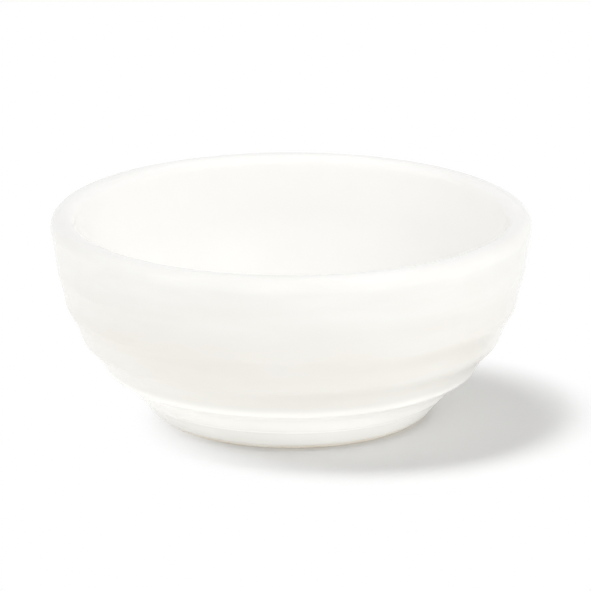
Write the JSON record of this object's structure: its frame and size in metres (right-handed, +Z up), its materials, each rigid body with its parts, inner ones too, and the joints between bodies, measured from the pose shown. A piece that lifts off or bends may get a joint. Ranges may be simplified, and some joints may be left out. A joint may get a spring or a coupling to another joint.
{
  "type": "soy sauce dish",
  "caption": "Small round glazed ceramic dipping dish with a thick rounded rim, soft finger rings outside and a turned foot ring.",
  "frame": {"origin": "middle of the foot ring, on the surface that the dish stands on", "axes": "+Z up along the axis of the dish; X and Y are alike, because the dish is turned"},
  "size_m": [0.089, 0.089, 0.038],
  "materials": {
    "bare_clay": "fired clay, unglazed and sponged smooth, seen only on the edge that the dish stands on",
    "glaze": "glossy warm white glaze, whiter inside and in the lowest ring, where it gathers, and warmer on the belly, where it is thin"
  },
  "bodies": {
    "root": {"clay_body": "bare_clay", "glaze_coat": "glaze", "underfoot_glaze": "glaze"}
  },
  "joints": []
}
